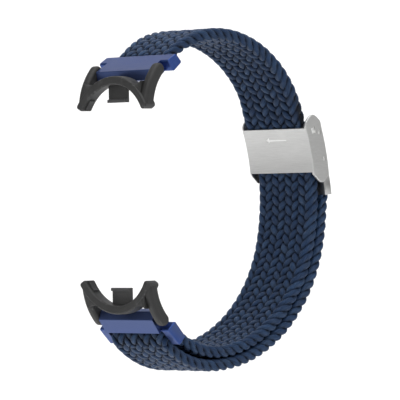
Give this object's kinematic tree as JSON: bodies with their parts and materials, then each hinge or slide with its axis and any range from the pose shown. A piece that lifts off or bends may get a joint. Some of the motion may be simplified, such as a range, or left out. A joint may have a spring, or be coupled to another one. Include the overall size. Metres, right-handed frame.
{
  "type": "fitness tracker band",
  "caption": "Elastic braided wrist band that clips to both round ends of a capsule tracker, adjusted by a metal sliding buckle with a locking lever.",
  "frame": {"origin": "middle of the wrist opening, half way between the two connectors", "axes": "+X from the tracker bay to the back of the wrist, +Y across the strap, +Z along the tracker to the upper connector"},
  "size_m": [0.0578, 0.0226, 0.0757],
  "materials": {
    "braid": "braided nylon, navy",
    "moulded": "matte moulded, dark grey",
    "anodised": "satin blue anodised",
    "steel": "fine satin brushed",
    "pins": "bright turned"
  },
  "bodies": {
    "band": {"strap_main_run": "braid", "strap_return_run": "braid", "upper_adaptor": "anodised", "upper_retaining_pin": "pins", "upper_spring_bar_tube": "pins", "upper_spring_bar_coil": "pins", "lower_adaptor": "anodised", "lower_loop_pin": "pins", "lower_spring_bar_tube": "pins", "lower_spring_bar_coil": "pins"},
    "upper_tip_left": {"upper_spring_bar_tip_left": "pins"},
    "upper_tip_right": {"upper_spring_bar_tip_right": "pins"},
    "lower_tip_left": {"lower_spring_bar_tip_left": "pins"},
    "lower_tip_right": {"lower_spring_bar_tip_right": "pins"},
    "upper_connector": {"upper_connector": "moulded"},
    "lower_connector": {"lower_connector": "moulded"},
    "buckle": {"buckle_body": "steel", "bridge_bar": "steel", "lever_hinge_pin": "pins", "end_ferrule": "steel", "ferrule_pin": "pins"},
    "lever": {"lock_lever": "steel"}
  },
  "joints": [
    {"name": "upper_connector_swing", "type": "hinge", "parent": "band", "child": "upper_connector", "pos_m": [-0.0211, 0, 0.0266], "axis": [0, 1, 0], "range_deg": [-25, 35]},
    {"name": "lower_connector_swing", "type": "hinge", "parent": "band", "child": "lower_connector", "pos_m": [-0.0211, 0, -0.0266], "axis": [0, -1, 0], "range_deg": [-25, 35]},
    {"name": "upper_tip_left_press", "type": "slide", "parent": "band", "child": "upper_tip_left", "axis": [0, -1, 0], "range_m": [0, 0.0011], "stiffness_N_per_m": 120, "springref_m": -0.0004, "deforming": ["upper_spring_bar_coil"]},
    {"name": "upper_tip_right_press", "type": "slide", "parent": "band", "child": "upper_tip_right", "axis": [0, 1, 0], "range_m": [0, 0.0011], "stiffness_N_per_m": 120, "springref_m": -0.0004, "deforming": ["upper_spring_bar_coil"]},
    {"name": "lower_tip_left_press", "type": "slide", "parent": "band", "child": "lower_tip_left", "axis": [0, -1, 0], "range_m": [0, 0.0011], "stiffness_N_per_m": 120, "springref_m": -0.0004, "deforming": ["lower_spring_bar_coil"]},
    {"name": "lower_tip_right_press", "type": "slide", "parent": "band", "child": "lower_tip_right", "axis": [0, 1, 0], "range_m": [0, 0.0011], "stiffness_N_per_m": 120, "springref_m": -0.0004, "deforming": ["lower_spring_bar_coil"]},
    {"name": "buckle_slide", "type": "hinge", "parent": "band", "child": "buckle", "pos_m": [-0.0183, 0, -0.0005], "axis": [0, 1, 0], "range_deg": [-8, 8], "deforming": ["strap_return_run"]},
    {"name": "lever_open", "type": "hinge", "parent": "buckle", "child": "lever", "pos_m": [0.02739, 0, 0.01338], "axis": [0, -1, 0], "range_deg": [0, 95]}
  ]
}
